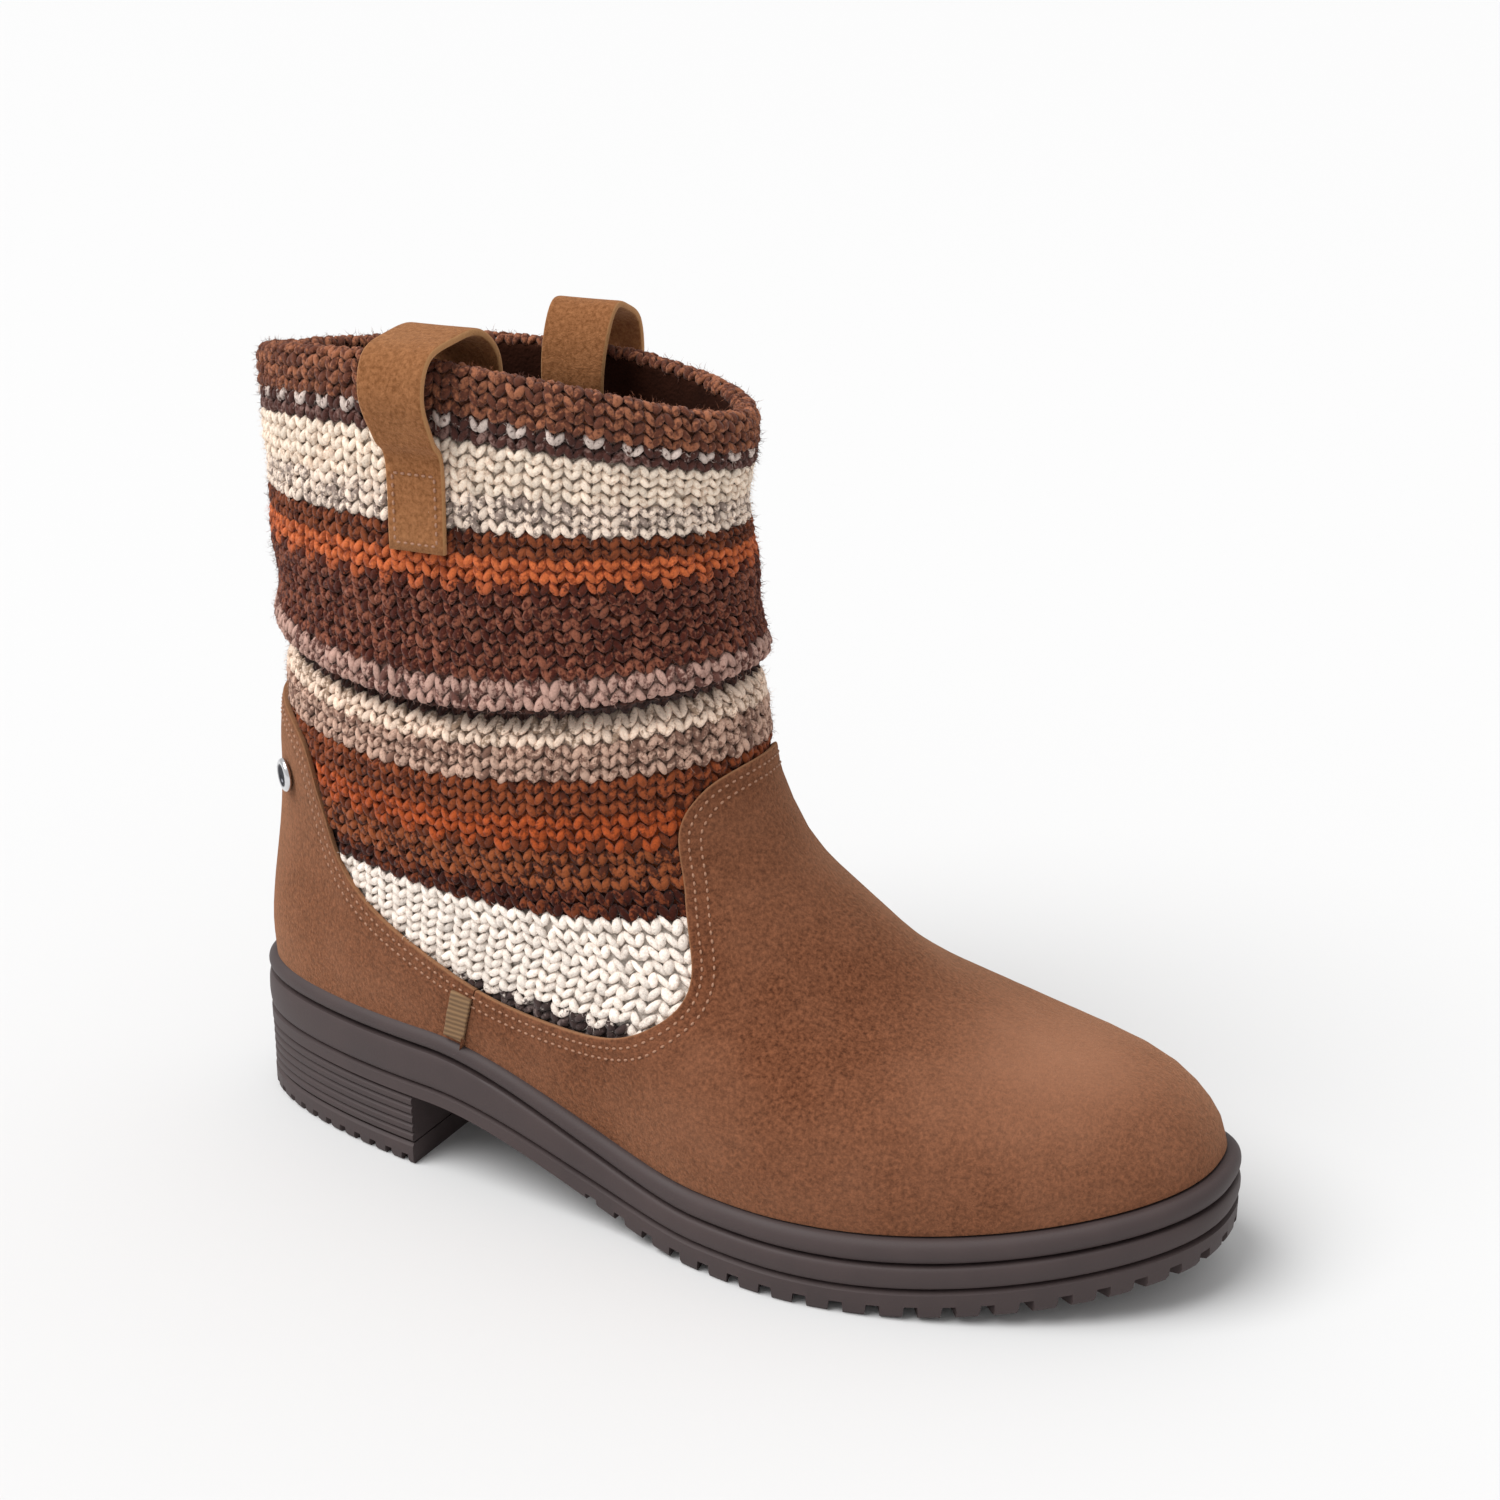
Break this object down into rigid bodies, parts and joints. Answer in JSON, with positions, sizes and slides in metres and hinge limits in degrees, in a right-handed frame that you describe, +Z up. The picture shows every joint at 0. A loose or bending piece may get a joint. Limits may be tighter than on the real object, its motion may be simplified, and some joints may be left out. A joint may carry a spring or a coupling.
{
  "type": "ankle boot",
  "caption": "Pull-on ankle boot with a slouched striped knit shaft, suede vamp and heel counter, pull loops and a ribbed, lugged rubber sole with a low block heel.",
  "frame": {"origin": "on the floor under the middle of the boot's box", "axes": "+X to the toe, +Y to the inner side of the foot, +Z up"},
  "size_m": [0.261, 0.1002, 0.2097],
  "materials": {
    "knit": "chunky striped wool knit",
    "suede": "brushed suede",
    "loop_suede": "brushed suede, lighter",
    "rubber": "matte moulded rubber",
    "insole_cloth": "brushed cloth",
    "rivet_metal": "polished nickel"
  },
  "bodies": {
    "root": {"upper": "knit", "vamp": "suede", "counter": "suede", "pull_loop_lateral": "loop_suede", "pull_loop_medial": "loop_suede", "rivet": "rivet_metal", "insole": "insole_cloth", "welt": "rubber", "midsole": "rubber", "outsole": "rubber", "heel": "rubber", "heel_lift": "rubber"}
  },
  "joints": []
}
